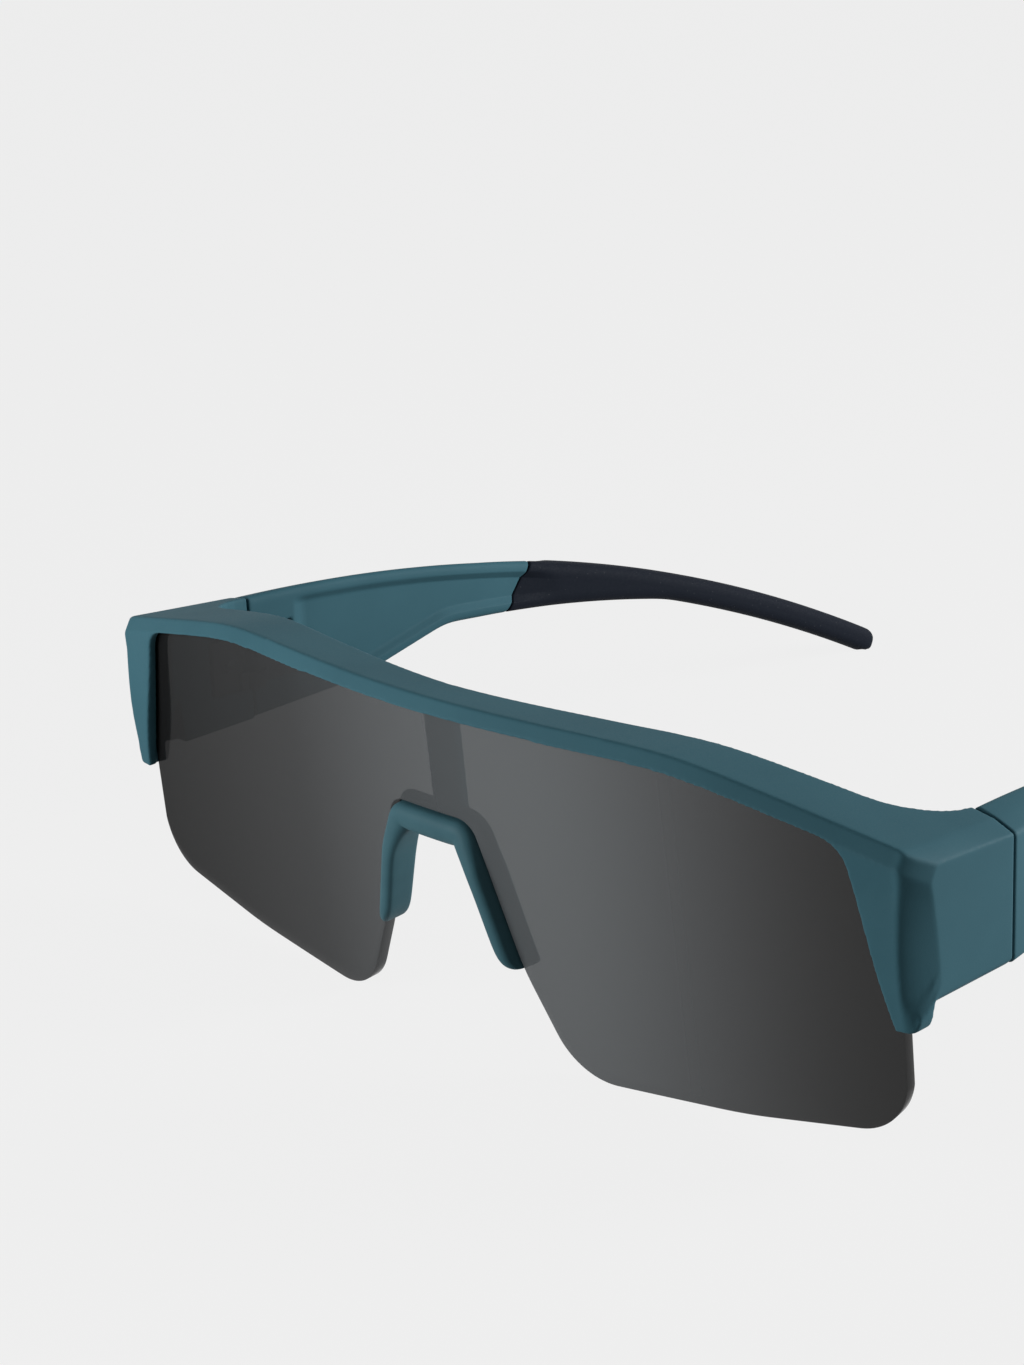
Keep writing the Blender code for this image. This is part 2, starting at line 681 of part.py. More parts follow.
def temple_tip(name, side, collection, finish):
    """The rubber tip, butted on the slanted joint, bending down to the table."""
    first = TEMPLE_JOINT_DEPTH + CLEARANCE * math.hypot(1, TEMPLE_JOINT_SLANT_SHARE)
    rings = [limb_ring(side, first, PANEL_RECESS, TEMPLE_EDGE, 1.0,
                       slant=TEMPLE_JOINT_SLANT_SHARE)]
    second = TEMPLE_JOINT_DEPTH + TEMPLE_JOINT_HEIGHT
    overhang = TIP_SLANT_SHARE * TIP_HEIGHT * (1 - TIP_END_SHARES[-1][1]) / 2
    last = OVERALL_DEPTH - TIP_END_ROUND - overhang
    count = 12
    for step in range(count + 1):
        depth = second + (last - second) * step / count
        rings.append(limb_ring(side, depth, 0.0, TIP_EDGE, 0.0,
                               slant=TIP_SLANT_SHARE * step / count))
    for reach_share, inset in TIP_END_SHARES:
        depth = last + TIP_END_ROUND * reach_share
        rings.append(limb_ring(side, depth, 0.0, TIP_EDGE, 0.0, inset=inset,
                               slant=TIP_SLANT_SHARE))
    return loft(name, rings, collection, finish)


def core_point(side, depth):
    """Middle of the temple's section, clear of the panel."""
    top, low = temple_heights(depth)
    x = temple_inner_x(depth) + (temple_thickness(depth) + PANEL_RECESS) / 2
    if depth > TIP_NECK_DEPTH:
        x -= PANEL_RECESS / 2
    return (side * x, depth_to_y(depth), (top + low) / 2)


def core_rod(name, side, radius, extra, collection, finish=None):
    """A round rod along the temple's middle line, made from a bevelled curve."""
    first = TEMPLE_JOINT_DEPTH - CORE_FRONT_REACH - extra
    last = OVERALL_DEPTH - CORE_END_MARGIN + extra
    count = 16
    curve = bpy.data.curves.new(name, "CURVE")
    curve.dimensions = "3D"
    curve.bevel_depth = radius
    curve.bevel_resolution = 2
    curve.use_fill_caps = True
    spline = curve.splines.new("POLY")
    spline.points.add(count)
    for step in range(count + 1):
        place = core_point(side, first + (last - first) * step / count)
        spline.points[step].co = (*place, 1.0)
    path = bpy.data.objects.new(name + "_path", curve)
    collection.objects.link(path)
    graph = bpy.context.evaluated_depsgraph_get()
    mesh = bpy.data.meshes.new_from_object(path.evaluated_get(graph))
    mesh.name = name
    shape = bmesh.new()
    shape.from_mesh(mesh)
    bmesh.ops.remove_doubles(shape, verts=shape.verts, dist=MERGE)
    bmesh.ops.recalc_face_normals(shape, faces=shape.faces)
    shape.to_mesh(mesh)
    shape.free()
    made = bpy.data.objects.new(name, mesh)
    collection.objects.link(made)
    made.matrix_world = path.matrix_world
    bpy.data.objects.remove(path)
    mesh.materials.clear()
    if finish is not None:
        mesh.materials.append(finish)
    return made


def hinge_axis(side):
    """World x and y of a hinge's screw."""
    return side * (inner_wall_x() - HINGE_INSET), depth_to_y(SEAM_DEPTH + CLEARANCE / 2)


def hinge_z():
    """Height of the hinge's middle: halfway up the end piece."""
    return (END_BOTTOM_Z + top_z(inner_wall_x(), depth_to_y(SEAM_DEPTH))) / 2


def barrel_spans():
    """Heights of the lower, middle and upper barrel."""
    middle = hinge_z()
    barrel = (2 * (middle - END_BOTTOM_Z) * HINGE_HEIGHT_SHARE - 2 * CLEARANCE) / 3
    pitch = barrel + CLEARANCE
    return [(middle + pitch * step - barrel / 2, middle + pitch * step + barrel / 2)
            for step in (-1, 0, 1)]


def sided_box(name, side, x_range, y_range, z_range, collection, finish=None):
    """A box given on the right, or mirrored to the left."""
    xs = sorted(side * x for x in x_range)
    ys = sorted(y_range)
    return box(name, (xs[0], ys[0], z_range[0]), (xs[1], ys[1], z_range[1]), collection, finish)


def plate_x():
    """Inner and outer x of a hinge plate on the right."""
    inner = inner_wall_x() - PLATE_PROUD
    return inner, inner + PLATE_THICKNESS


def plate_y(direction):
    """Near and far y of a hinge plate, ahead of the seam (-1) or behind it (1)."""
    centre = hinge_axis(1)[1]
    near = BARREL_RADIUS + CLEARANCE
    return centre + direction * near, centre + direction * (near + PLATE_LENGTH)


def hinge_leaf(name, side, direction, own, collection, cutters, finish):
    """One half of the hinge: a plate let into the plastic, with its barrels."""
    spans = barrel_spans()
    low, high = spans[0][0], spans[2][1]
    axis_x, axis_y = hinge_axis(side)
    leaf = sided_box(name, side, plate_x(), plate_y(direction), (low, high), collection, finish)
    neck_end = plate_y(direction)[0] + direction * PLATE_THICKNESS
    for index in own:
        barrel = upright_cylinder(f"{name}_barrel_{index}", (axis_x, axis_y), BARREL_RADIUS,
                                  *spans[index], cutters)
        neck = sided_box(f"{name}_neck_{index}", side, (abs(axis_x), plate_x()[1]),
                         (axis_y, neck_end), spans[index], cutters)
        boolean(leaf, hide_cutter(neck), "UNION")
        boolean(leaf, hide_cutter(barrel), "UNION")
    bore = upright_cylinder(name + "_bore", (axis_x, axis_y), HINGE_SCREW_RADIUS + CLEARANCE,
                            low - OVERRUN, high + OVERRUN, cutters, sides=16)
    boolean(leaf, hide_cutter(bore), "DIFFERENCE")
    return leaf


def screw_along_x(name, side, direction, radius, collection, finish=None, grow=0.0):
    """A small pan-head screw through the middle of a plate, its head on the inner side."""
    head_top = 0.0
    head_low = -LEAF_HEAD_HEIGHT
    profile = [(0, head_top), (LEAF_HEAD_RADIUS * LEAF_HEAD_CROWN_SHARE, head_top),
               (LEAF_HEAD_RADIUS, (head_top + head_low) / 2), (LEAF_HEAD_RADIUS, head_low),
               (radius, head_low), (radius, head_low - LEAF_SCREW_LENGTH),
               (0, head_low - LEAF_SCREW_LENGTH)]
    if grow:
        profile = [(0, OVERRUN), (radius + grow, OVERRUN),
                   (radius + grow, head_low - LEAF_SCREW_LENGTH - grow),
                   (0, head_low - LEAF_SCREW_LENGTH - grow)]
    made = turned(name, profile, collection, finish, 16)
    start = side * (plate_x()[0] - CLEARANCE - LEAF_HEAD_HEIGHT)
    made.location = (start, sum(plate_y(direction)) / 2, hinge_z())
    made.rotation_euler = (0, -side * math.pi / 2, 0)
    return made


def hinge_screw(name, side, collection, finish):
    """The hinge's screw: head above the top barrel, shank through all three."""
    spans = barrel_spans()
    head_low = spans[2][1] + CLEARANCE
    head_top = head_low + HINGE_HEAD_HEIGHT
    profile = [(0, head_top), (HINGE_HEAD_RADIUS, head_top), (HINGE_HEAD_RADIUS, head_low),
               (HINGE_SCREW_RADIUS, head_low), (HINGE_SCREW_RADIUS, spans[0][0]),
               (0, spans[0][0])]
    made = turned(name, profile, collection, finish, 20)
    made.location = (*hinge_axis(side), 0)
    return made


def seat_hinge(body, side, direction, cutters):
    """Cut a leaf's pocket, the room for the barrels and the leaf screw's hole in the plastic."""
    spans = barrel_spans()
    low = spans[0][0] - CLEARANCE
    high = spans[2][1] + CLEARANCE
    label = f"{body.name}_{'left' if side > 0 else 'right'}"
    near, far = plate_y(direction)
    over = near - direction * OVERRUN
    pocket = sided_box(label + "_pocket", side,
                       (plate_x()[0] - OVERRUN, plate_x()[1] + CLEARANCE),
                       (over, far + direction * CLEARANCE), (low, high), cutters)
    room_high = high + HINGE_HEAD_HEIGHT + CLEARANCE
    room = upright_cylinder(label + "_barrel_room", hinge_axis(side), BARREL_RADIUS + CLEARANCE,
                            low, room_high, cutters)
    hole = screw_along_x(label + "_screw_hole", side, direction, LEAF_SCREW_RADIUS, cutters,
                         None, CLEARANCE)
    for tool in (pocket, room, hole):
        boolean(body, hide_cutter(tool), "DIFFERENCE")


def hang(pieces, name, side, collection):
    """Parent a temple's pieces to an empty on its hinge axis."""
    pivot = bpy.data.objects.new(name, None)
    collection.objects.link(pivot)
    pivot.location = (*hinge_axis(side), hinge_z())
    bpy.context.view_layer.update()
    for piece in pieces:
        piece.parent = pivot
        piece.matrix_parent_inverse = pivot.matrix_world.inverted()


def build():
    clear_scene()
    parts = new_collection("fit_over_sunglasses")
    cutters = new_collection("cutters")
    teal = material("teal_soft_touch", (0.058, 0.138, 0.168), 0.55)
    pad_teal = material("teal_silicone", (0.045, 0.115, 0.135), 0.6)
    rubber = material("tip_rubber", (0.016, 0.017, 0.024), 0.75)
    smoke = material("smoke_lens", (0.075, 0.08, 0.084), 0.12)
    steel = material("hinge_steel", (0.5, 0.5, 0.51), 0.3, 1.0)

    frame = frame_blank(parts, teal)
    boolean(frame, opening_cutter(cutters), "DIFFERENCE")
    boolean(frame, interior_cutter(cutters), "DIFFERENCE")
    groove = hide_cutter(lens_sheet("groove_cutter", CLEARANCE, cutters))
    boolean(frame, groove, "DIFFERENCE")
    boolean(frame, strap(cutters), "UNION")
    lens_sheet("shield_lens", 0.0, parts, smoke)
    nose_piece(parts, pad_teal)

    for word, side in (("left", 1), ("right", -1)):
        arm = temple(word + "_temple", side, parts, teal)
        tip = temple_tip(word + "_temple_tip", side, parts, rubber)
        core = core_rod(word + "_tip_core", side, CORE_RADIUS, 0.0, parts, steel)
        bore = core_rod(word + "_core_bore", side, CORE_RADIUS + CLEARANCE, CLEARANCE, cutters)
        hide_cutter(bore)
        boolean(arm, bore, "DIFFERENCE")
        boolean(tip, bore, "DIFFERENCE")
        seat_hinge(frame, side, -1, cutters)
        seat_hinge(arm, side, 1, cutters)
        fixed = hinge_leaf(word + "_front_leaf", side, -1, (0, 2), parts, cutters, steel)
        moving = hinge_leaf(word + "_temple_leaf", side, 1, (1,), parts, cutters, steel)
        for leaf, direction in ((fixed, -1), (moving, 1)):
            hole = screw_along_x(leaf.name + "_hole", side, direction, LEAF_SCREW_RADIUS, cutters,
                                 None, CLEARANCE)
            boolean(leaf, hide_cutter(hole), "DIFFERENCE")
        screw_along_x(word + "_front_leaf_screw", side, -1, LEAF_SCREW_RADIUS, parts, steel)
        temple_screw = screw_along_x(word + "_temple_leaf_screw", side, 1, LEAF_SCREW_RADIUS,
                                     parts, steel)
        hinge_screw(word + "_hinge_screw", side, parts, steel)
        hang((arm, tip, core, moving, temple_screw), word + "_temple_hinge", side, parts)


build()
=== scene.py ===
import math

import bpy
import numpy as np
from mathutils import Matrix, Vector


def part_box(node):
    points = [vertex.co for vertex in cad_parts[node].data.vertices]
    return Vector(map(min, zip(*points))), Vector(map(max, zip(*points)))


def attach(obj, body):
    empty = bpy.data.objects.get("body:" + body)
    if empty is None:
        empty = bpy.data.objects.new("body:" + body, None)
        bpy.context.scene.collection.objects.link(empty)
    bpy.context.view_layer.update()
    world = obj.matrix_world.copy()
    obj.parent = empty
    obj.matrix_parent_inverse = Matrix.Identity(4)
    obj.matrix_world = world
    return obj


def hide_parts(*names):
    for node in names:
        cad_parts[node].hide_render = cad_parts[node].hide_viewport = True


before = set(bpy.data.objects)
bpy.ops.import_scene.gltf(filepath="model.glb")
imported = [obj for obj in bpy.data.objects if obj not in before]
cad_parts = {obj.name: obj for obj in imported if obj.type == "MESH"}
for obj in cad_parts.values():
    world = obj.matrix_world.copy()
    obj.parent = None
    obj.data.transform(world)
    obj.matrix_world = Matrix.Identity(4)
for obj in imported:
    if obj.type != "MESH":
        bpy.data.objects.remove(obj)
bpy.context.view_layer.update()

# Front frame. One nylon moulding: brow with a shelf behind it, two end pieces with short legs,
# and the strap behind the lens. It is sprayed with a thin soft-touch paint that rounds every edge,
# so the moulding's own solid is taken, laid on a fine even grid and eased.
frame_grid = 0.0002
frame_ease_rounds = 16
frame_ease_strength = 0.5
frame_face_share = 0.36
merge_reach = 0.00001
teal_colour = (0.0395, 0.115, 0.146)
teal_shadow_colour = (0.0345, 0.103, 0.132)
paint_clouds_per_metre = 60.0
paint_grain_per_metre = 5200.0
paint_roughness = (0.60, 0.74)
paint_grain_depth = 0.00006
paint_grain_strength = 0.16
paint_gloss = 0.12
noise_band = (0.3, 0.7)
tone_band = (0.35, 0.65)


def eased_copy(node, name, grid, rounds, strength, face_share):
    """A copy of a node, merged, rebuilt on an even grid, smoothed and thinned where it is flat."""
    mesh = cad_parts[node].data.copy()
    mesh.name = name
    mesh.materials.clear()
    made = bpy.data.objects.new(name, mesh)
    bpy.context.scene.collection.objects.link(made)
    weld = made.modifiers.new("weld", "WELD")
    weld.merge_threshold = merge_reach
    even = made.modifiers.new("even_grid", "REMESH")
    even.mode = "VOXEL"
    even.voxel_size = grid
    ease = made.modifiers.new("ease", "SMOOTH")
    ease.factor = strength
    ease.iterations = rounds
    thin = made.modifiers.new("thin", "DECIMATE")
    thin.ratio = face_share
    graph = bpy.context.evaluated_depsgraph_get()
    finished = bpy.data.meshes.new_from_object(made.evaluated_get(graph))
    made.modifiers.clear()
    made.data = finished
    finished.name = name
    finished.shade_smooth()
    return made


def new_finish(name):
    """An opaque finish to build on: the material, its nodes, its links and its shader."""
    made = bpy.data.materials.new(name)
    made.use_nodes = True
    tree = made.node_tree
    return made, tree.nodes, tree.links, tree.nodes["Principled BSDF"]


def noise(nodes, scale, detail):
    """A noise texture on object coordinates, in cycles per metre."""
    place = nodes.new("ShaderNodeTexCoord")
    grain = nodes.new("ShaderNodeTexNoise")
    grain.inputs["Scale"].default_value = scale
    grain.inputs["Detail"].default_value = detail
    nodes.id_data.links.new(place.outputs["Object"], grain.inputs["Vector"])
    return grain


def spread(nodes, value, low, high):
    """A noise value stretched to run from low to high over its usual band."""
    step = nodes.new("ShaderNodeMapRange")
    step.inputs["From Min"].default_value = noise_band[0]
    step.inputs["From Max"].default_value = noise_band[1]
    step.inputs["To Min"].default_value = low
    step.inputs["To Max"].default_value = high
    nodes.id_data.links.new(value, step.inputs["Value"])
    return step.outputs["Result"]


def two_tones(nodes, value, first, second):
    """A colour that runs from first to second with a value."""
    ramp = nodes.new("ShaderNodeValToRGB")
    for element, position, colour in zip(ramp.color_ramp.elements, tone_band, (first, second)):
        element.position = position
        element.color = (*colour, 1.0)
    nodes.id_data.links.new(value, ramp.inputs["Fac"])
    return ramp.outputs["Color"]


def bump(nodes, value, strength, height):
    """A bump normal from a value."""
    relief = nodes.new("ShaderNodeBump")
    relief.inputs["Strength"].default_value = strength
    relief.inputs["Distance"].default_value = height
    nodes.id_data.links.new(value, relief.inputs["Height"])
    return relief.outputs["Normal"]


def soft_touch_paint():
    """Matt teal paint: a faint cloudy tone and a fine orange-peel grain."""
    made, nodes, links, shader = new_finish("soft_touch_teal")
    clouds = noise(nodes, paint_clouds_per_metre, 3.0)
    grain = noise(nodes, paint_grain_per_metre, 2.0)
    links.new(two_tones(nodes, clouds.outputs["Fac"], teal_shadow_colour, teal_colour),
              shader.inputs["Base Color"])
    links.new(spread(nodes, grain.outputs["Fac"], *paint_roughness), shader.inputs["Roughness"])
    relief = bump(nodes, grain.outputs["Fac"], paint_grain_strength, paint_grain_depth)
    links.new(relief, shader.inputs["Normal"])
    shader.inputs["Specular IOR Level"].default_value = paint_gloss
    return made


soft_touch_teal = soft_touch_paint()
brow_frame = eased_copy("front_frame", "brow_frame", frame_grid, frame_ease_rounds,
                        frame_ease_strength, frame_face_share)
brow_frame.data.materials.append(soft_touch_teal)
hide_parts("front_frame")
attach(brow_frame, "front")

# Shield lens. One sheet of smoke-tinted polycarbonate, 1.9 mm thick, cut to its outline with
# polished edges and pushed up into the frame's groove. Its tone carries a painted reflection:
# lighter in the middle and darker towards both ends, over the lens's own dark smoke tint.
half_width = 0.075
lens_thickness = 0.0019
lens_half_width = 0.0715
lens_recess = 0.00175
brow_front_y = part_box("front_frame")[0].y
brow_rake = 0.205
brow_nose_round = 0.027
ridge_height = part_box("front_frame")[1].z
opening_drop = 0.0021
groove_depth = 0.0007
knee_x = 0.0415
knee_softness = 0.006
knee_drop = 0.225
lens_tilt = 0.132
lens_tilt_loss = 0.062
lens_top_corner = 0.002
lens_spacing = 0.0006
lens_rows = 26
lens_side_margin = 0.00002
lens_side_start = 0.0003
least_column = 0.00006
lens_edge_polish = 0.00018
lens_edge_angle = math.radians(50)
corner_arc_points = 25
lens_clouds_per_metre = 90.0
lens_roughness = (0.06, 0.11)
lens_gloss = 0.03
lens_corners = [
    (0.0, 0.0344, 0.0),
    (0.0076, 0.0344, 0.0032),
    (0.0134, 0.0140, 0.0300),
    (0.0206, -0.0006, 0.0095),
    (0.0475, 0.0017, 0.0900),
    (lens_half_width, 0.0060, 0.0086),
    (lens_half_width, 0.0232, 0.0),
]
# Painted reflection: each stop's tone is lighter in the middle and darker at both ends, standing in
# for a soft reflection of studio light over the lens's own dark smoke.
lens_tones_with_painted_reflection = [
    (0.00, (0.003, 0.003, 0.003, 0.868)),
    (0.30, (0.031, 0.032, 0.033, 0.845)),
    (0.45, (0.070, 0.076, 0.080, 0.780)),
    (0.62, (0.124, 0.136, 0.143, 0.776)),
    (0.75, (0.088, 0.094, 0.099, 0.800)),
    (0.88, (0.024, 0.024, 0.024, 0.822)),
    (1.00, (0.007, 0.007, 0.007, 0.832)),
]


def opening_top(x):
    """Height of the opening's upper edge: level in the middle, then a soft knee and a slope."""
    run = np.abs(x) - knee_x
    level = ridge_height - opening_drop
    return level - knee_drop * (run + np.hypot(run, knee_softness)) / 2


def lens_front(x, z):
    """Depth of the lens's front: a soft V in x that leans back below the brow."""
    sweep = brow_rake * (np.hypot(x, brow_nose_round) - brow_nose_round)
    tilt = lens_tilt - lens_tilt_loss * (x / half_width) ** 2
    return brow_front_y + sweep + tilt * (ridge_height - opening_drop - z) + lens_recess


def arc_path(corners, spacing):
    """An open path whose inner corners, each (x, z, radius), are arcs, walked at an even step."""
    corners = np.array(corners)
    stretches = [corners[:1, :2]]
    for before, here, after in zip(corners, corners[1:], corners[2:]):
        back = (before[:2] - here[:2]) / np.linalg.norm(before[:2] - here[:2])
        ahead = (after[:2] - here[:2]) / np.linalg.norm(after[:2] - here[:2])
        half = math.acos(np.clip(back @ ahead, -1, 1)) / 2
        middle = (back + ahead) / np.linalg.norm(back + ahead)
        centre = here[:2] + middle * here[2] / math.sin(half)
        start = here[:2] + back * here[2] / math.tan(half) - centre
        turn = np.sign(np.cross(back, ahead)) * (2 * half - math.pi)
        angle = turn * np.linspace(0, 1, corner_arc_points)[:, None]
        across = np.array([-start[1], start[0]])
        stretches.append(centre + start * np.cos(angle) + across * np.sin(angle))
    stretches.append(corners[-1:, :2])
    points = np.concatenate(stretches)
    length = np.concatenate([[0], np.cumsum(np.linalg.norm(np.diff(points, axis=0), axis=1))])
    even = np.linspace(0, length[-1], max(2, int(length[-1] / spacing)))
    return np.stack([np.interp(even, length, points[:, axis]) for axis in (0, 1)], axis=1)


def grid_mesh(name, points, close_columns=False, cap_ends=False):
    """A mesh from points[row, column]: quads between rows, closed round the columns if asked."""
    rows, columns = points.shape[:2]
    index = np.arange(rows * columns).reshape(rows, columns)
    side = np.roll(index, -1, axis=1) if close_columns else index[:, 1:]
    own = index if close_columns else index[:, :-1]
    quads = np.stack([own[:-1], side[:-1], side[1:], own[1:]], axis=-1).reshape(-1, 4)
    faces = quads.tolist()
    if cap_ends:
        faces.append(index[0, ::-1].tolist())
        faces.append(index[-1].tolist())
    mesh = bpy.data.meshes.new(name)
    mesh.from_pydata(points.reshape(-1, 3).tolist(), [], faces)
    mesh.shade_smooth()
    made = bpy.data.objects.new(name, mesh)
    bpy.context.scene.collection.objects.link(made)
    return made


def lens_surface(spacing, rows):
    """Columns of points from the cut outline up to the edge in the groove."""
    half = arc_path(lens_corners, spacing)
    half = half[half[:, 0] < lens_half_width - lens_side_margin]
    half[:, 1] -= half[:, 1].min()
    half = np.concatenate([half, [[lens_half_width, half[-1, 1] + lens_side_start]]])
    keep = np.concatenate([[True], np.diff(half[:, 0]) > least_column])
    half = half[keep]
    x = np.concatenate([-half[:0:-1, 0], half[:, 0]])
    low = np.concatenate([half[:0:-1, 1], half[:, 1]])
    into = np.clip(np.abs(x) - (lens_half_width - lens_top_corner), 0, lens_top_corner)
    high = opening_top(x) + groove_depth
    high = high - (lens_top_corner - np.sqrt(lens_top_corner ** 2 - into ** 2))
    share = np.linspace(0, 1, rows)[:, None]
    z = low * (1 - share) + high * share
    x = np.broadcast_to(x, z.shape)
    return np.stack([x, lens_front(x, z), z], axis=-1)


def smoke_tint_with_painted_reflection():
    """Dark polished polycarbonate: see-through, with a painted reflection that lightens the
    tone towards the middle.

    Each stop across the lens gives its tone and the share of the view behind that it holds back.
    """
    made, nodes, links, shader = new_finish("smoke_tint_with_painted_reflection")
    place = nodes.new("ShaderNodeTexCoord")
    axes = nodes.new("ShaderNodeSeparateXYZ")
    links.new(place.outputs["Object"], axes.inputs["Vector"])
    across = nodes.new("ShaderNodeMapRange")
    across.inputs["From Min"].default_value = -half_width
    across.inputs["From Max"].default_value = half_width
    links.new(axes.outputs["X"], across.inputs["Value"])
    tone = nodes.new("ShaderNodeValToRGB")
    tone.color_ramp.interpolation = "B_SPLINE"
    ramp = tone.color_ramp.elements
    for position, _ in lens_tones_with_painted_reflection[1:-1]:
        ramp.new(position)
    for element, (position, tone_and_density) in zip(ramp, lens_tones_with_painted_reflection):
        element.position = position
        element.color = tone_and_density
    links.new(across.outputs["Result"], tone.inputs["Fac"])
    # The base colour carries the painted reflection, lighter in the middle of the lens.
    links.new(tone.outputs["Color"], shader.inputs["Base Color"])
    wipe = noise(nodes, lens_clouds_per_metre, 4.0)
    links.new(spread(nodes, wipe.outputs["Fac"], *lens_roughness), shader.inputs["Roughness"])
    shader.inputs["Specular IOR Level"].default_value = lens_gloss
    links.new(tone.outputs["Alpha"], shader.inputs["Alpha"])
    return made


tinted_lens = grid_mesh("tinted_lens", lens_surface(lens_spacing, lens_rows))
thicken = tinted_lens.modifiers.new("thickness", "SOLIDIFY")
thicken.thickness = lens_thickness
thicken.offset = -1.0
polish = tinted_lens.modifiers.new("polished_edge", "BEVEL")
polish.width = lens_edge_polish
polish.segments = 2
polish.limit_method = "ANGLE"
polish.angle_limit = lens_edge_angle
tinted_lens.data.materials.append(smoke_tint_with_painted_reflection())
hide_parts("shield_lens")
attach(tinted_lens, "front")

# Nose piece. A soft silicone U in the frame's colour: a saddle over the bridge, two pads, and a
# thin flange that grips the lens from behind. It is moulded in one and pressed over the nose cut.
fit_gap = 0.0003
saddle_height = 0.0041
saddle_proud = 0.0014
saddle_back = 0.0007
pad_width = 0.0023
pad_proud = 0.0022
pad_back = 0.0043
pad_tip_back = 0.0030
pad_flare = 0.0005
pad_tip_z = 0.0137
pad_end_length = 0.0026
pad_end_share = 0.30
flange_width = 0.0009
flange_thickness = 0.0005
edge_round_share = 0.42
corner_ease_rounds = 6
nose_spacing = 0.0009
nose_corner_points = (5, 5, 5, 3)
nose_corner_turns = ((-170, -90), (-90, 0), (0, 90), (90, 140))
silicone_colour = (0.040, 0.107, 0.131)
silicone_shadow_colour = (0.033, 0.092, 0.114)
silicone_clouds_per_metre = 160.0
silicone_grain_per_metre = 7000.0
silicone_roughness = (0.52, 0.66)
silicone_grain_depth = 0.00005
silicone_grain_strength = 0.12
silicone_gloss = 0.15


def nose_surface(spacing):
    """A soft closed section carried along the nose cut, fading to a rounded paddle at each end.

    The section is a block with quarter-circle corners, open at the back of the lens, where the
    thin flange takes over. Its free side is eased along the path, which fills the inner corners.
    """
    half = arc_path(lens_corners, spacing)
    half[:, 1] -= min(half[:, 1].min(), 0.0)
    half = half[:np.argmax(half[:, 1] < pad_tip_z)]
    path = np.concatenate([half[:0:-1] * (-1, 1), half])
    along = np.gradient(path, axis=0)
    along /= np.linalg.norm(along, axis=1)[:, None]
    inward = np.stack([along[:, 1], -along[:, 0]], axis=1)
    walked = np.concatenate([[0], np.cumsum(np.linalg.norm(np.diff(path, axis=0), axis=1))])
    near_end = np.clip(np.minimum(walked, walked[-1] - walked) / pad_end_length, 0, 1)
    fade = (pad_end_share + (1 - pad_end_share) * np.sqrt(near_end * (2 - near_end)))[:, None]
    arm = np.clip((lens_corners[0][1] - path[:, 1:]) / (2 * saddle_height), 0, 1)
    arm = arm * arm * (3 - 2 * arm)
    width = (saddle_height + (pad_width - saddle_height) * arm) * fade
    front = -(saddle_proud + (pad_proud - saddle_proud) * arm) * fade
    behind = lens_thickness + fit_gap
    above_tip = (path[:, 1:] - pad_tip_z) / (lens_corners[0][1] - pad_tip_z)
    back = pad_tip_back + (pad_back - pad_tip_back) * above_tip
    back = behind + (saddle_back + (back - behind - saddle_back) * arm) * fade
    turn = np.radians(np.concatenate([
        np.linspace(*turns, count) for turns, count in zip(nose_corner_turns, nose_corner_points)
    ]))[None]
    free = np.repeat((0, 1, 1, 0), nose_corner_points)[None]
    at_back = np.repeat((0, 0, 1, 1), nose_corner_points)[None]
    radius = edge_round_share * np.minimum(width, back - front)
    depth = front + radius + (back - front - 2 * radius) * at_back + radius * np.sin(turn)
    across = radius + (width - 2 * radius) * free + radius * np.cos(turn)
    lean = pad_flare * arm * fade * np.clip(depth / back, 0, 1)
    offset = fit_gap + np.maximum(across - lean, -pad_flare * (depth > behind))
    edge = np.ones_like(width)
    offset = np.concatenate([offset, -flange_width * edge, -flange_width * edge, fit_gap * edge], 1)
    depth = np.concatenate([depth, (behind + flange_thickness) * edge, behind * edge,
                            behind * edge], axis=1)
    place = path[:, None] + inward[:, None] * offset[..., None]
    filled = place.copy()
    for _ in range(corner_ease_rounds):
        filled[1:-1] = (filled[:-2] + 2 * filled[1:-1] + filled[2:]) / 4
    share = np.clip((offset - fit_gap) / width, 0, 1)[..., None]
    place = place + (filled - place) * share
    x, z = place[..., 0], place[..., 1]
    return np.stack([x, lens_front(x, z) + depth, z], axis=-1)


def silicone():
    """Matt silicone: the paint's colour a shade deeper, with a fine dry grain."""
    made, nodes, links, shader = new_finish("teal_silicone")
    clouds = noise(nodes, silicone_clouds_per_metre, 2.0)
    grain = noise(nodes, silicone_grain_per_metre, 2.0)
    links.new(two_tones(nodes, clouds.outputs["Fac"], silicone_shadow_colour, silicone_colour),
              shader.inputs["Base Color"])
    links.new(spread(nodes, grain.outputs["Fac"], *silicone_roughness), shader.inputs["Roughness"])
    relief = bump(nodes, grain.outputs["Fac"], silicone_grain_strength, silicone_grain_depth)
    links.new(relief, shader.inputs["Normal"])
    shader.inputs["Specular IOR Level"].default_value = silicone_gloss
    return made


nose_saddle = grid_mesh("nose_saddle", nose_surface(nose_spacing), close_columns=True,
                        cap_ends=True)
rounding = nose_saddle.modifiers.new("rounding", "SUBSURF")
rounding.levels = 2
rounding.render_levels = 2
nose_saddle.data.materials.append(silicone())
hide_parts("nose_piece")
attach(nose_saddle, "front")

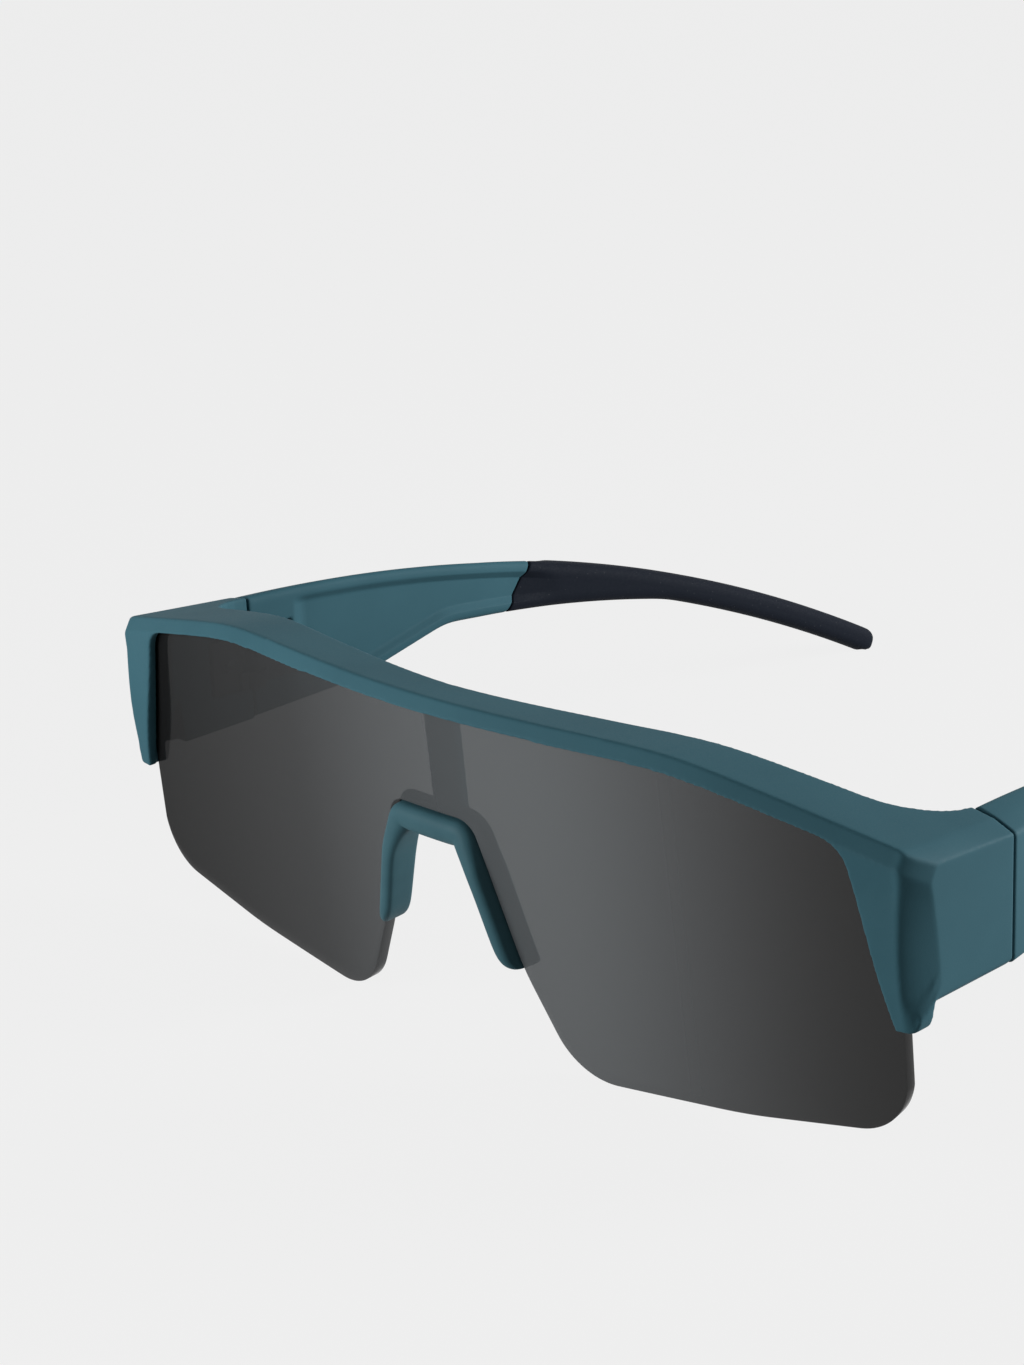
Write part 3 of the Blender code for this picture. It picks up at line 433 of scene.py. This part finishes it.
# Temples. Two nylon arms in the frame's paint: a deep bar with a chamfered top, a shallow panel
# on the inner side, a pocket for the hinge at the front end and a slanted joint with the tip.
side_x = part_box("front_frame")[1].x
back_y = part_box("left_temple_tip")[1].y
seam_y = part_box("front_frame")[1].y
wall = 0.0066
lean = 0.06
top_at_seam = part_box("left_temple")[1].z
end_bottom_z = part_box("left_temple")[0].z
top_fall = 0.03
tip_end_top_z = 0.0029
belly_rise = 0.043
climb_y = seam_y + 0.0210
corner_y = seam_y + 0.0395
joint_y = seam_y + 0.0550
neck_y = seam_y + 0.0900
bar_height = 0.0101
joint_height = 0.0086
neck_height = 0.0049
tip_height = 0.0050
bar_thickness = 0.0046
tip_thickness = 0.0039
chamfer_width = 0.0030
chamfer_drop = 0.0013
cross_fall = 0.225
joint_slant = 0.8
panel_start_y = seam_y + 0.0110
panel_border = 0.0017
panel_bevel = 0.0011
panel_recess = 0.0008
plate_length = 0.0060
plate_pocket = 0.0011
barrel_radius = 0.0015
hinge_inset = 0.0008
hinge_x = side_x - wall - hinge_inset
hinge_y = seam_y + fit_gap / 2
hinge_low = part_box("left_front_leaf")[0].z
hinge_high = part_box("left_front_leaf")[1].z
temple_edge = 0.0007
line_step = 0.0002
climb_ease = 0.0040
corner_reach = 0.48
corner_points = 5
inner_face_points = 48
inner_face_depth = 0.0006
inner_face_fade = 0.0004
panel_room_share = 0.2
pocket_wall = 0.0002
plate_wall = 0.0003
barrel_room = barrel_radius + 1.5 * fit_gap
end_rim = (0.0, 0.0001, 0.0003)
seam_rim_inset = (0.06, 0.02, 0)
joint_rim_inset = (0.05, 0.02, 0)
hinge_stations = (0.0006, 0.0100, 0.0003)
arm_station_step = 0.0008


def limb_heights(y):
    """Top and bottom height: a parabola above, and below a belly, a climb and a slim bar."""
    run = y - seam_y
    length = back_y - seam_y
    bend = top_at_seam - top_fall * length - tip_end_top_z
    top = top_at_seam - top_fall * run - bend * (run / length) ** 2
    thick = np.interp(y, (corner_y, joint_y, neck_y, back_y),
                      (bar_height, joint_height, neck_height, tip_height))
    corner_run = corner_y - seam_y
    corner_low = (top_at_seam - top_fall * corner_run - bend * (corner_run / length) ** 2
                  - bar_height)
    belly = end_bottom_z + belly_rise * np.minimum(run, climb_y - seam_y)
    share = np.clip((y - climb_y) / (corner_y - climb_y), 0, 1)
    ahead = belly + (corner_low - belly) * share
    return top, np.where(y < corner_y, ahead, top - thick)


def eased(values, reach):
    """Values on the even line, averaged over a soft window that ends reach away on each side."""
    steps = round(reach / line_step)
    window = np.hanning(2 * steps + 3)[1:-1]
    padded = np.pad(values, steps, mode="reflect", reflect_type="odd")
    return np.convolve(padded, window / window.sum(), "valid")


def limb_surface(side, y, recess, edge, chamfer, inset, slant, pocket=0.0):
    """Loops round a limb, one for each y: eight corners eased by curves, and a dense inner face.

    The inner face is set back by the panel's recess, and by the hinge's pocket near the seam.
    Each loop is shrunk by its inset and leans by its slant, and no point goes below the table.
    """
    line = np.arange(seam_y, back_y + line_step, line_step)
    line_top, line_low = limb_heights(line)
    line_low = eased(line_low, climb_ease)
    line_thick = eased(np.interp(line, (seam_y, corner_y, joint_y, back_y),
                                 (wall, bar_thickness, bar_thickness, tip_thickness)), climb_ease)
    line_slope = -np.gradient((line_top + line_low) / 2, line)
    top, low, thick, slope = (np.interp(y, line, values)
                              for values in (line_top, line_low, line_thick, line_slope))
    inner = side_x - wall - lean * (y - seam_y)
    outer = inner + thick
    ledge = outer - edge + (edge - chamfer_width) * chamfer
    fall = cross_fall * (ledge - inner) * chamfer
    side_top = top - fall - edge + (edge - chamfer_drop) * chamfer
    corners = np.stack([
        np.stack([outer, outer, ledge, inner + edge, inner, inner, inner + edge, outer - edge], 1),
        np.stack([low + edge, side_top, top - fall, top, top - edge, low + edge, low, low], 1)], -1)
    toward = np.roll(corners, 1, axis=1) - corners
    onward = np.roll(corners, -1, axis=1) - corners
    ease = edge[:, None, None]
    start, end = (
        corners + way * np.minimum(ease / np.linalg.norm(way, axis=-1, keepdims=True), corner_reach)
        for way in (toward, onward))
    t = np.linspace(0, 1, corner_points)[None, None, :, None]
    arcs = ((1 - t) ** 2 * start[:, :, None] + 2 * t * (1 - t) * corners[:, :, None]
            + t ** 2 * end[:, :, None])
    share = np.linspace(0, 1, inner_face_points)[None, 1:-1, None]
    face = arcs[:, 4, -1][:, None] * (1 - share) + arcs[:, 5, 0][:, None] * share
    loop = np.concatenate([arcs[:, :5].reshape(len(y), -1, 2), face,
                           arcs[:, 5:].reshape(len(y), -1, 2)], axis=1)
    x, z = loop[..., 0], loop[..., 1]
    border = np.minimum(z - low[:, None], top[:, None] - z) - panel_border
    border_room = (top - low)[:, None] * panel_room_share
    panel = np.clip(border / np.minimum(panel_bevel, border_room), 0, 1)
    on_inner = np.clip((inner[:, None] + inner_face_depth - x) / inner_face_fade, 0, 1)
    sunk = recess[:, None] * panel
    inside_pocket = np.minimum(z - hinge_low, hinge_high - z) + fit_gap
    near_hinge = np.clip(inside_pocket / pocket_wall, 0, 1)
    plate_end = hinge_y + barrel_radius + plate_length + 2 * fit_gap
    plate = plate_pocket * np.clip((plate_end - y)[:, None] / plate_wall, 0, 1)
    room = barrel_room ** 2 - (y - hinge_y) ** 2
    barrel = np.where(room > 0, hinge_x + np.sqrt(np.clip(room, 0, None)) - inner, 0)
    sunk = np.maximum(sunk, pocket * near_hinge * np.maximum(plate, barrel[:, None]))
    x = x + sunk * on_inner
    middle_x, middle_z = ((inner + outer) / 2)[:, None], ((top + low) / 2)[:, None]
    shrink = 1 - inset[:, None]
    x = middle_x + (x - middle_x) * shrink
    rise = (z - middle_z) * shrink / (1 + (slant * slope)[:, None])
    points = np.stack([side * x, y[:, None] + slant[:, None] * rise,
                       np.maximum(middle_z + rise, 0)], axis=-1)
    return points if side < 0 else points[:, ::-1]


def temple_surface(side):
    """Stations from the seam to the slanted joint, close together along the hinge's pocket."""
    first = seam_y + fit_gap
    last = joint_y
    hinge_start, hinge_end, hinge_step = hinge_stations
    front_rim = [first + step for step in end_rim]
    rear_rim = [last - step for step in reversed(end_rim)]
    y = np.concatenate([front_rim, np.arange(first + hinge_start, first + hinge_end, hinge_step),
                        np.arange(first + hinge_end, last - hinge_start, arm_station_step),
                        rear_rim])
    same = np.ones_like(y)
    inset = np.interp(y, front_rim + rear_rim, seam_rim_inset + joint_rim_inset[::-1])
    recess = panel_recess * np.clip((y - panel_start_y + 2 * panel_bevel) / (2 * panel_bevel), 0, 1)
    slant = joint_slant * np.clip((y - last + joint_height) / joint_height, 0, 1)
    return limb_surface(side, y, recess, temple_edge * same, same, inset, slant, pocket=1.0)


left_arm = grid_mesh("left_arm_shell", temple_surface(1), close_columns=True, cap_ends=True)
right_arm = grid_mesh("right_arm_shell", temple_surface(-1), close_columns=True, cap_ends=True)
for arm, word in ((left_arm, "left"), (right_arm, "right")):
    arm.data.materials.append(soft_touch_teal)
    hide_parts(word + "_temple")
    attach(arm, word + "_arm")

# Temple tips. Soft rubber sleeves, pushed over a steel core and butted on the slanted joint:
# they take over the arm's section, slim down and end in a rounded square.
tip_edge = 0.0011
tip_slant = 0.45
tip_end_round = 0.0018
tip_end_steps = 9
tip_end_lean = 0.55
tip_end_shrink = 0.62
tip_station_start = 0.0008
tip_station_step = 0.0010
rubber_grain_per_metre = 4200.0
rubber_specks_per_metre = 900.0
rubber_colour = (0.0055, 0.0080, 0.0140, 1.0)
dust_colour = (0.05, 0.053, 0.06, 1.0)
dust_speck_edge = (0.05, 0.09)
rubber_roughness = (0.62, 0.80)
rubber_grain_depth = 0.00007
rubber_grain_strength = 0.2
rubber_gloss = 0.08


def tip_surface(side):
    """Stations from the joint to the end, where the loops shrink along a quarter circle."""
    first = joint_y + fit_gap * math.hypot(1, joint_slant)
    second = joint_y + joint_height
    overhang = tip_slant * tip_height * tip_end_lean / 2
    last = back_y - overhang - tip_end_round
    turn = np.linspace(0, math.pi / 2, tip_end_steps)[1:]
    front_rim = [first + step for step in end_rim]
    y = np.concatenate([front_rim, np.arange(first + tip_station_start, last, tip_station_step),
                        last + tip_end_round * np.sin(turn)])
    taken = np.clip((y - first) / (second - first), 0, 1)
    onward = np.clip((y - second) / (last - second), 0, 1)
    end = np.clip((y - last) / tip_end_round, 0, 1)
    inset = np.interp(y, front_rim, joint_rim_inset)
    inset = inset + tip_end_shrink * (1 - np.sqrt(np.clip(1 - end ** 2, 0, 1)))
    edge = temple_edge + (tip_edge - temple_edge) * taken
    slant = joint_slant * (1 - taken) + tip_slant * onward
    return limb_surface(side, y, panel_recess * (1 - taken), edge, 1 - taken, inset, slant)


def tip_rubber():
    """Near-black rubber with a dry grain and sparse pale dust specks."""
    made, nodes, links, shader = new_finish("tip_rubber_black")
    grain = noise(nodes, rubber_grain_per_metre, 2.0)
    place = nodes.new("ShaderNodeTexCoord")
    dots = nodes.new("ShaderNodeTexVoronoi")
    dots.inputs["Scale"].default_value = rubber_specks_per_metre
    links.new(place.outputs["Object"], dots.inputs["Vector"])
    speck = nodes.new("ShaderNodeMapRange")
    speck.inputs["From Min"].default_value = dust_speck_edge[0]
    speck.inputs["From Max"].default_value = dust_speck_edge[1]
    speck.inputs["To Min"].default_value = 1.0
    speck.inputs["To Max"].default_value = 0.0
    links.new(dots.outputs["Distance"], speck.inputs["Value"])
    dust = nodes.new("ShaderNodeMix")
    dust.data_type = "RGBA"
    dust.inputs["A"].default_value = rubber_colour
    dust.inputs["B"].default_value = dust_colour
    links.new(speck.outputs["Result"], dust.inputs["Factor"])
    links.new(dust.outputs["Result"], shader.inputs["Base Color"])
    links.new(spread(nodes, grain.outputs["Fac"], *rubber_roughness), shader.inputs["Roughness"])
    relief = bump(nodes, grain.outputs["Fac"], rubber_grain_strength, rubber_grain_depth)
    links.new(relief, shader.inputs["Normal"])
    shader.inputs["Specular IOR Level"].default_value = rubber_gloss
    return made


black_rubber = tip_rubber()
left_sleeve = grid_mesh("left_tip_sleeve", tip_surface(1), close_columns=True, cap_ends=True)
right_sleeve = grid_mesh("right_tip_sleeve", tip_surface(-1), close_columns=True, cap_ends=True)
for sleeve, word in ((left_sleeve, "left"), (right_sleeve, "right")):
    sleeve.data.materials.append(black_rubber)
    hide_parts(word + "_temple_tip")
    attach(sleeve, word + "_arm")

# Hinges. Each is a pair of stamped leaves with three barrels round one slotted screw, held by a
# small pan-head screw in each leaf. They are blackened steel, and so is the core in each tip.
head_radius = 0.00115
head_height = 0.0007
screw_radius = 0.0006
leaf_head_radius = 0.0010
leaf_head_height = 0.0005
leaf_screw_radius = 0.0005
leaf_screw_length = 0.0032
slot_half = 0.00016
slot_depth = 0.0003
slot_wall = 0.00005
crown_rings = 22
screw_sides = 96
crown_share = 0.25
rim_share = 0.6
pole_reach = 0.000001
steel_colour = (0.055, 0.057, 0.062)
worn_steel_colour = (0.085, 0.087, 0.092)
steel_wear_per_metre = 900.0
steel_marks_per_metre = 6000.0
steel_roughness = (0.30, 0.42)
steel_mark_depth = 0.00002
steel_mark_strength = 0.08


def screw_surface(head, height, shank, length):
    """A turned screw, head up at z 0: a crowned disc with a slot pressed in, and a plain shank."""
    share = np.linspace(0, 1, crown_rings)
    radius = np.concatenate([share * head, [head, head, shank, shank, 0.0]])
    crown = -crown_share * height * share ** 3
    level = np.concatenate([crown, [-rim_share * height, -height, -height, -height - length,
                                    -height - length]])
    angle = np.linspace(0, 2 * math.pi, screw_sides, endpoint=False)
    x = radius[:, None] * np.cos(angle)
    y = radius[:, None] * np.sin(angle)
    in_slot = np.clip((slot_half - np.abs(y)) / slot_wall + 0.5, 0, 1)
    top_rows = (np.arange(len(radius)) < len(share))[:, None]
    z = level[:, None] - slot_depth * in_slot * top_rows
    return np.stack([x, y, z], axis=-1)


def blackened_steel():
    """Dark satin steel with fine rolling marks and slightly brighter worn spots."""
    made, nodes, links, shader = new_finish("blackened_steel")
    wear = noise(nodes, steel_wear_per_metre, 3.0)
    marks = noise(nodes, steel_marks_per_metre, 1.0)
    links.new(two_tones(nodes, wear.outputs["Fac"], steel_colour, worn_steel_colour),
              shader.inputs["Base Color"])
    links.new(spread(nodes, marks.outputs["Fac"], *steel_roughness), shader.inputs["Roughness"])
    relief = bump(nodes, marks.outputs["Fac"], steel_mark_strength, steel_mark_depth)
    links.new(relief, shader.inputs["Normal"])
    shader.inputs["Metallic"].default_value = 1.0
    return made


dark_steel = blackened_steel()
hinge_nodes = [side + piece for side in ("left_", "right_")
               for piece in ("front_leaf", "temple_leaf", "tip_core")]
for node in hinge_nodes:
    cad_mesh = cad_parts[node].data
    cad_mesh.materials.clear()
    cad_mesh.materials.append(dark_steel)


def add_screw(name, node, points, body):
    """A steel screw in a node's place, with the rings at its two poles merged to one point each."""
    made = grid_mesh(name, points, close_columns=True)
    poles = made.modifiers.new("closed_poles", "WELD")
    poles.merge_threshold = pole_reach
    made.data.materials.append(dark_steel)
    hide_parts(node)
    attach(made, body)


for word, side in (("left", 1), ("right", -1)):
    low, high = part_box(word + "_hinge_screw")
    pin = screw_surface(head_radius, head_height, screw_radius, high.z - low.z - head_height)
    pin = pin[:, ::-1] + ((low.x + high.x) / 2, (low.y + high.y) / 2, high.z)
    add_screw(word + "_hinge_pin", word + "_hinge_screw", pin, "front")
    for leaf, body in (("front", "front"), ("temple", word + "_arm")):
        node = f"{word}_{leaf}_leaf_screw"
        low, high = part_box(node)
        turned_screw = screw_surface(leaf_head_radius, leaf_head_height, leaf_screw_radius,
                                     leaf_screw_length)
        across = np.stack([-side * turned_screw[..., 2], turned_screw[..., 0],
                           side * turned_screw[..., 1]], axis=-1)
        head_x = low.x if side > 0 else high.x
        across = across + (head_x, (low.y + high.y) / 2, (low.z + high.z) / 2)
        add_screw(f"{word}_{leaf}_leaf_fixing", node, across, body)


# Studio. A pale floor, a softbox in front on the left, a larger one behind on the right and a
# low even sky, with the camera where the photograph's was.
floor_half = 6.0
floor_lit_colour = (0.32, 0.32, 0.32, 1.0)
floor_seen_colour = (0.905, 0.905, 0.905, 1.0)
floor_seen_share = 0.93


def seen_by_eye(nodes, ray):
    """One for a ray that comes from the camera, by a gloss or through something clear."""
    seen = ray.outputs["Is Camera Ray"]
    for kind in ("Is Glossy Ray", "Is Transmission Ray"):
        either = nodes.new("ShaderNodeMath")
        either.operation = "MAXIMUM"
        nodes.id_data.links.new(seen, either.inputs[0])
        nodes.id_data.links.new(ray.outputs[kind], either.inputs[1])
        seen = either.outputs["Value"]
    return seen


def studio_floor():
    """A pale floor that shows the eye mostly its own tone and a small share of the lit one,
    so that it stays plain but keeps the object's soft shadow."""
    made = bpy.data.materials.new("pale_floor")
    made.use_nodes = True
    nodes = made.node_tree.nodes
    links = made.node_tree.links
    nodes.clear()
    lit = nodes.new("ShaderNodeBsdfDiffuse")
    lit.inputs["Color"].default_value = floor_lit_colour
    plain = nodes.new("ShaderNodeEmission")
    plain.inputs["Color"].default_value = floor_seen_colour
    ray = nodes.new("ShaderNodeLightPath")
    seen = seen_by_eye(nodes, ray)
    share = nodes.new("ShaderNodeMath")
    share.operation = "MULTIPLY"
    share.inputs[1].default_value = floor_seen_share
    links.new(seen, share.inputs[0])
    blend = nodes.new("ShaderNodeMixShader")
    links.new(share.outputs["Value"], blend.inputs["Fac"])
    links.new(lit.outputs["BSDF"], blend.inputs[1])
    links.new(plain.outputs["Emission"], blend.inputs[2])
    output = nodes.new("ShaderNodeOutputMaterial")
    links.new(blend.outputs["Shader"], output.inputs["Surface"])
    return made


corner = np.array([[[-1, -1, 0], [1, -1, 0]], [[-1, 1, 0], [1, 1, 0]]]) * floor_half
floor = grid_mesh("floor", corner)
floor.data.materials.append(studio_floor())


def softbox(name, azimuth, elevation, distance, width, power):
    """A square lamp that faces the object from an azimuth and elevation in degrees."""
    lamp = bpy.data.lights.new(name, "AREA")
    lamp.shape = "SQUARE"
    lamp.size = width
    lamp.energy = power
    made = bpy.data.objects.new(name, lamp)
    bpy.context.scene.collection.objects.link(made)
    around, up = math.radians(azimuth), math.radians(elevation)
    away = Vector((math.sin(around) * math.cos(up), -math.cos(around) * math.cos(up),
                   math.sin(up)))
    made.location = away * distance
    made.rotation_euler = away.to_track_quat("Z", "Y").to_euler()


softbox("left_softbox", azimuth=-17, elevation=15, distance=0.32, width=0.16, power=0.60)
softbox("right_softbox", azimuth=136, elevation=22, distance=0.52, width=0.24, power=3.8)

sky_light_strength = 0.08
sky_seen_colour = (0.855, 0.855, 0.855, 1.0)
sky = bpy.data.worlds.new("sky")
bpy.context.scene.world = sky
sky.use_nodes = True
sky_nodes = sky.node_tree.nodes
sky_light = sky_nodes["Background"]
sky_light.inputs["Color"].default_value = (1.0, 1.0, 1.0, 1.0)
sky_light.inputs["Strength"].default_value = sky_light_strength
sky_seen = sky_nodes.new("ShaderNodeBackground")
sky_seen.inputs["Color"].default_value = sky_seen_colour
sky_ray = sky_nodes.new("ShaderNodeLightPath")
sky_mix = sky_nodes.new("ShaderNodeMixShader")
sky.node_tree.links.new(seen_by_eye(sky_nodes, sky_ray), sky_mix.inputs["Fac"])
sky.node_tree.links.new(sky_light.outputs["Background"], sky_mix.inputs[1])
sky.node_tree.links.new(sky_seen.outputs["Background"], sky_mix.inputs[2])
sky.node_tree.links.new(sky_mix.outputs["Shader"], sky_nodes["World Output"].inputs["Surface"])

camera_azimuth = math.radians(45.78)
camera_elevation = math.radians(19.09)
camera_roll = math.radians(-2.4)
camera_place = (0.2818, -0.3409, 0.1839)
camera_focal_length = 81.47
camera_sensor_width = 36.0
camera_near_limit = 0.01
camera_data = bpy.data.cameras.new("camera")
camera_data.sensor_width = camera_sensor_width
camera_data.lens = camera_focal_length
camera_data.clip_start = camera_near_limit
camera = bpy.data.objects.new("camera", camera_data)
bpy.context.scene.collection.objects.link(camera)
toward_camera = Vector((math.sin(camera_azimuth) * math.cos(camera_elevation),
                        -math.cos(camera_azimuth) * math.cos(camera_elevation),
                        math.sin(camera_elevation)))
level = Vector((math.cos(camera_azimuth), math.sin(camera_azimuth), 0))
upright = toward_camera.cross(level)
right = level * math.cos(camera_roll) + upright * math.sin(camera_roll)
up = upright * math.cos(camera_roll) - level * math.sin(camera_roll)
turned = Matrix((right, up, toward_camera)).transposed()
camera.matrix_world = Matrix.Translation(camera_place) @ turned.to_4x4()
bpy.context.scene.camera = camera
bpy.context.scene.view_settings.view_transform = "Standard"
